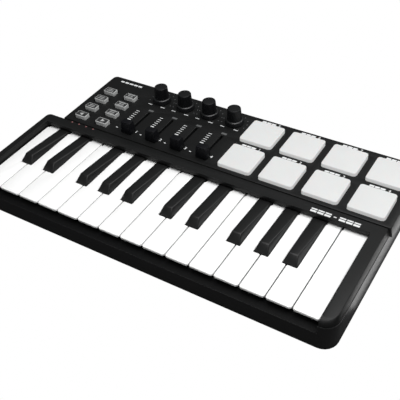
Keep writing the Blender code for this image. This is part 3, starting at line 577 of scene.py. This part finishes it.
# Painted highlight: the ring is a paler copy of the grip's rubber for the highlight on its bevel;
# its lower roughness is real gloss.
ring_painted_highlight_look = moulded(
    "knob_ring_painted_highlight", (0.008, 0.0084, 0.0088), (0.012, 0.0125, 0.013), 0.28, 0.05, 1500.0, 0.000004
)
for look in (knob_look, knob_top_painted_light_look):
    shader_of(look).inputs["Specular IOR Level"].default_value = 0.27
KNOB_SIDES = 64


def turned_piece(name, profile, sides):
    """A solid of revolution from (radius, height) pairs, drawn out of a disc, foot first."""
    bpy.ops.object.select_all(action="DESELECT")
    radius, height = profile[0]
    bpy.ops.mesh.primitive_circle_add(
        vertices=sides, radius=radius, fill_type="NGON", location=(0, 0, 0)
    )
    piece = bpy.context.object
    piece.name = piece.data.name = name
    piece.data.transform(Matrix.Translation((0, 0, height)))
    bpy.ops.object.mode_set(mode="EDIT")
    bpy.context.tool_settings.mesh_select_mode = (False, False, True)
    bpy.ops.mesh.select_all(action="SELECT")
    for next_radius, next_height in profile[1:]:
        rise = (0, 0, next_height - height)
        bpy.ops.mesh.extrude_region_move(TRANSFORM_OT_translate={"value": rise})
        scale = next_radius / radius
        bpy.ops.transform.resize(value=(scale, scale, 1), center_override=(0, 0, next_height))
        radius, height = next_radius, next_height
    bpy.ops.mesh.select_all(action="SELECT")
    bpy.ops.mesh.normals_make_consistent(inside=False)
    bpy.ops.object.mode_set(mode="OBJECT")
    bpy.ops.object.shade_smooth_by_angle(angle=math.radians(35))
    return piece


knob_nodes = sorted(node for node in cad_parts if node.startswith("knob_"))
for node in knob_nodes:
    low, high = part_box(node)
    x, y = (low.x + high.x) / 2, (low.y + high.y) / 2
    panel_level = panel_high.z
    grip_profile = [
        (0.0030, low.z),
        (0.0030, panel_level + 0.0005),
        (0.0079, panel_level + 0.0005),
        (0.0082, panel_level + 0.0007),
        (0.0081, panel_level + 0.0012),
        (0.0075, panel_level + 0.0034),
        (0.0065, panel_level + 0.0036),
        (0.0060, high.z - 0.0030),
        (0.00585, high.z - 0.0008),
        (0.0057, high.z - 0.0003),
        (0.0053, high.z - 0.00005),
        (0.0050, high.z - 0.00005),
    ]
    grip = turned_piece(node + "_grip", grip_profile, KNOB_SIDES)
    grip.data.transform(Matrix.Translation((x, y, 0)))
    fit_out(grip, knob_look, node, "knob_rubber", node)
    ring_profile = [
        (0.0062, panel_level + 0.0033),
        (0.0075, panel_level + 0.0033),
        (0.0077, panel_level + 0.0036),
        (0.0074, panel_level + 0.0041),
        (0.0068, panel_level + 0.0044),
        (0.0062, panel_level + 0.0044),
    ]
    ring = turned_piece(node + "_ring", ring_profile, KNOB_SIDES)
    ring.data.transform(Matrix.Translation((x, y, 0)))
    fit_out(ring, ring_painted_highlight_look, node, "knob_rubber")
    top_profile = [(0.0050, high.z - 0.0004), (0.0050, high.z - 0.00005), (0.0048, high.z)]
    top = turned_piece(node + "_top", top_profile, KNOB_SIDES)
    top.data.transform(Matrix.Translation((x, y, 0)))
    fit_out(top, knob_top_painted_light_look, node, "knob_rubber")

# ---------------------------------------------------------------- fader caps
# Four slide caps of matt black plastic, each a block that narrows upwards. It stands on a flat
# lever that comes up through its slot in the panel.
CAP_TAPER = 0.0008
CAP_EDGE = 0.0005
LEVER_HALF_WIDTH = 0.0007
LEVER_HALF_DEPTH = 0.0012

fader_look = moulded(
    "fader_plastic", (0.0028, 0.0030, 0.0040), (0.0038, 0.0040, 0.0052), 0.48, 0.08, 2200.0, 0.00001
)
shader_of(fader_look).inputs["Specular IOR Level"].default_value = 0.16

fader_nodes = sorted(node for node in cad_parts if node.startswith("fader_cap"))
for node in fader_nodes:
    low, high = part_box(node)
    foot = panel_high.z + 0.0005
    cap = block(node + "_block", (low.x, low.y, foot), (high.x, high.y, high.z))
    x, y = (low.x + high.x) / 2, (low.y + high.y) / 2
    for corner in cap.data.vertices:
        if corner.co.z > foot + 0.0001:
            corner.co.x -= math.copysign(CAP_TAPER, corner.co.x - x)
            corner.co.y -= math.copysign(CAP_TAPER, corner.co.y - y)
    soften(cap, CAP_EDGE, 3)
    lever_low = (x - LEVER_HALF_WIDTH, y - LEVER_HALF_DEPTH, low.z)
    lever_high = (x + LEVER_HALF_WIDTH, y + LEVER_HALF_DEPTH, foot + 0.0002)
    lever = block(node + "_lever", lever_low, lever_high)
    cap = joined(node + "_block", [cap, lever])
    fit_out(cap, fader_look, node, "fader_plastic", node)

# ---------------------------------------------------------------- printing on the panel
# White ink on the mouldings: dots and end bars round each knob, a ladder beside each fader,
# numerals, and plain bars where a maker would put names.
PRINT = 0.00004
DOT_RING = 0.0115
DOT_SIZE = 0.0008
LADDER_STEP = 0.0028
PAD_MARK_OFFSET = 0.0036
KNOB_MARK_OFFSET = 0.0092
NAME_STEP = 0.0050
BAR_NAME_STEP = 0.0056

print_look = moulded(
    "white_print", (0.62, 0.63, 0.63), (0.70, 0.71, 0.71), 0.5, 0.1, 3000.0, 0.000002
)
faint_look = moulded(
    "grey_print", (0.075, 0.077, 0.078), (0.10, 0.102, 0.103), 0.5, 0.1, 3000.0, 0.000002
)


def bar(x, y, width, depth, level, slant=0.0):
    """A flat bar of ink about a point, its back edge moved to the right by slant."""
    bar_high = (x + width / 2, y + depth / 2, level + PRINT)
    piece = block("bar", (x - width / 2, y - depth / 2, level), bar_high)
    for corner in piece.data.vertices:
        if corner.co.y > y:
            corner.co.x += slant
    return piece


def numeral(text, x, y, size, level):
    """A printed numeral with its middle at a point."""
    bpy.ops.object.select_all(action="DESELECT")
    bpy.ops.object.text_add(location=(0, 0, 0))
    piece = bpy.context.object
    piece.data.body = text
    piece.data.size = size
    piece.data.align_x = "CENTER"
    piece.data.align_y = "CENTER"
    piece.data.extrude = PRINT / 2
    piece.data.offset = size * 0.02
    bpy.ops.object.convert(target="MESH")
    piece = bpy.context.object
    piece.data.transform(Matrix.Translation((x, y, level + PRINT / 2)))
    return piece


level = panel_high.z - PRINT / 4
white_marks, faint_marks = [], []
for number, (knob, fader) in enumerate(zip(knob_nodes, fader_nodes), start=1):
    low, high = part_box(knob)
    x, y = (low.x + high.x) / 2, (low.y + high.y) / 2
    for step in range(11):
        turn = math.radians(-135 + 27 * step)
        dot_x, dot_y = x + DOT_RING * math.sin(turn), y + DOT_RING * math.cos(turn)
        faint_marks.append(bar(dot_x, dot_y, DOT_SIZE, DOT_SIZE, level))
    white_marks.append(bar(x - 0.0070, y - KNOB_MARK_OFFSET, 0.0040, 0.0007, level))
    white_marks.append(bar(x + 0.0063, y - KNOB_MARK_OFFSET, 0.0042, 0.0007, level))
    low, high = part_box(fader)
    slot, rest = (low.x + high.x) / 2, (low.y + high.y) / 2
    for step in range(6):
        depth = 0.0012 if step == 0 else 0.0006
        rung = rest + 0.0153 + LADDER_STEP * step
        white_marks.append(bar(slot - 0.0106, rung, 0.0034, depth, level))
    white_marks.append(bar(slot - 0.0130, rest + 0.0008, 0.0018, 0.0008, level))
    white_marks.append(numeral(str(number), slot + 0.0064, rest + 0.0025, 0.0040, level))
    faint_marks.append(bar(slot, rest + 0.0345, 0.0050, 0.0022, level))
for number, node in enumerate(pad_nodes, start=1):
    left, right, front, back = pad_boxes[node]
    middle = (left + right) / 2
    for mark in range(3):
        x = middle - 0.0072 + 0.0044 * mark
        white_marks.append(bar(x, back + PAD_MARK_OFFSET, 0.0038, 0.0018, level, 0.0003))
    numeral_place = (middle + 0.0070, back + PAD_MARK_OFFSET)
    white_marks.append(numeral(str(number), *numeral_place, 0.0036, level))
button_left = top_rectangle(button_nodes[0])[0]
for mark, width in enumerate((0.0036, 0.0040, 0.0040, 0.0040, 0.0040)):
    x = button_left + 0.0050 + NAME_STEP * mark
    white_marks.append(bar(x, panel_high.y - 0.0072, width, 0.0020, level))
bar_level = keybed_high.z - PRINT / 4
for mark in range(7):
    x = first_key_low.x + 0.2555 + BAR_NAME_STEP * mark
    y = keybed_high.y - 0.0067
    if mark == 3:
        white_marks.append(bar(x, y, 0.0022, 0.0009, bar_level))
        continue
    white_marks.append(bar(x, y + 0.0014, 0.0048, 0.0013, bar_level))
    white_marks.append(bar(x, y - 0.0010, 0.0048, 0.0019, bar_level))
white_printing = joined("white_printing", white_marks)
fit_out(white_printing, print_look, "case", "case_plastic")
faint_printing = joined("faint_printing", faint_marks)
fit_out(faint_printing, faint_look, "case", "case_plastic")

# ---------------------------------------------------------------- lamps
# Four small dull red lenses in a row on the bar, in front of the buttons, unlit. Each is a low dome
# pressed into a hole in the moulding.
LAMP_STEP = 0.0078

lamp_look = moulded(
    "lamp_lens", (0.25, 0.10, 0.10), (0.30, 0.13, 0.13), 0.3, 0.05, 800.0, 0.000002
)
for number in range(4):
    x = button_left + 0.0025 + LAMP_STEP * number
    lens = [(0.0007, bar_level - 0.001), (0.0007, bar_level + 0.0001), (0.0004, bar_level + 0.0003)]
    lamp = turned_piece(f"lamp_{number + 1}", lens, 16)
    lamp.data.transform(Matrix.Translation((x, keybed_high.y - 0.0012, 0)))
    fit_out(lamp, lamp_look, "case", "case_plastic")

# ---------------------------------------------------------------- feet
# Two long strips of black foam rubber stuck under the lower case, front and back.
foot_look = moulded(
    "foot_rubber", (0.022, 0.022, 0.022), (0.035, 0.035, 0.035), 0.8, 0.1, 900.0, 0.00008
)
for node in ("front_foot_strip", "rear_foot_strip"):
    foot = copy_of(node, node + "_rubber")
    soften(foot, 0.0002, 2)
    fit_out(foot, foot_look, "case", "foot_rubber", node)

# ---------------------------------------------------------------- sockets and the works inside
# A plated USB socket with its plastic tongue and a pedal jack in the rear wall. Inside are the
# circuit board, the contact strip, and the chassis with the steel rod that the keys turn on.
BOARD_THICKNESS = 0.0016
TONGUE_HALF_WIDTH = 0.0028
TONGUE_HALF_HEIGHT = 0.0016

metal_look = moulded(
    "socket_metal", (0.50, 0.50, 0.52), (0.56, 0.56, 0.58), 0.28, 0.08, 900.0, 0.000004
)
shader_of(metal_look).inputs["Metallic"].default_value = 1.0
rod_look = moulded("rod_steel", (0.58, 0.58, 0.60), (0.62, 0.62, 0.64), 0.25, 0.08, 900.0, 0.000004)
shader_of(rod_look).inputs["Metallic"].default_value = 1.0
jack_look = moulded("jack_plastic", (0.018, 0.018, 0.018), (0.024, 0.024, 0.024), 0.4)
board_look = moulded(
    "circuit_board", (0.015, 0.09, 0.045), (0.02, 0.12, 0.06), 0.4, 0.1, 700.0, 0.00001
)
board_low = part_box("main_board")[0]
board_nodes, board_links = board_look.node_tree.nodes, board_look.node_tree.links
board_place = board_nodes.new("ShaderNodeTexCoord")
board_axes = board_nodes.new("ShaderNodeSeparateXYZ")
board_links.new(board_place.outputs["Object"], board_axes.inputs[0])
on_board = board_nodes.new("ShaderNodeMath")
on_board.operation = "GREATER_THAN"
on_board.inputs[1].default_value = board_low.z + BOARD_THICKNESS + 0.0001
board_links.new(board_axes.outputs["Z"], on_board.inputs[0])
board_colour = board_nodes.new("ShaderNodeMix")
board_colour.data_type = "RGBA"
board_colour.inputs["B"].default_value = (0.006, 0.006, 0.007, 1)
board_links.new(on_board.outputs[0], board_colour.inputs["Factor"])
board_source = shader_of(board_look).inputs["Base Color"].links[0].from_socket
board_links.new(board_source, board_colour.inputs["A"])
board_links.new(board_colour.outputs["Result"], shader_of(board_look).inputs["Base Color"])
contact_look = moulded("contact_rubber", (0.15, 0.16, 0.17), (0.18, 0.19, 0.20), 0.7)
chassis_look = moulded("chassis_plastic", (0.09, 0.09, 0.10), (0.11, 0.11, 0.12), 0.5)
for node, look in (
    ("usb_socket", metal_look),
    ("pedal_jack", jack_look),
    ("main_board", board_look),
    ("contact_strip", contact_look),
    ("key_chassis", chassis_look),
    ("key_pivot_rod", rod_look),
):
    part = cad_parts[node]
    part.data.materials.clear()
    part.data.materials.append(look)

usb_low, usb_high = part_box("usb_socket")
usb_x, usb_z = (usb_low.x + usb_high.x) / 2, (usb_low.z + usb_high.z) / 2
tongue_low = (usb_x - TONGUE_HALF_WIDTH, usb_high.y - 0.0105, usb_z - TONGUE_HALF_HEIGHT)
tongue_high = (usb_x + TONGUE_HALF_WIDTH, usb_high.y - 0.0015, usb_z + TONGUE_HALF_HEIGHT)
tongue = block("usb_tongue", tongue_low, tongue_high)
soften(tongue, 0.0003, 2)
fit_out(tongue, jack_look, "case", "socket_metal")
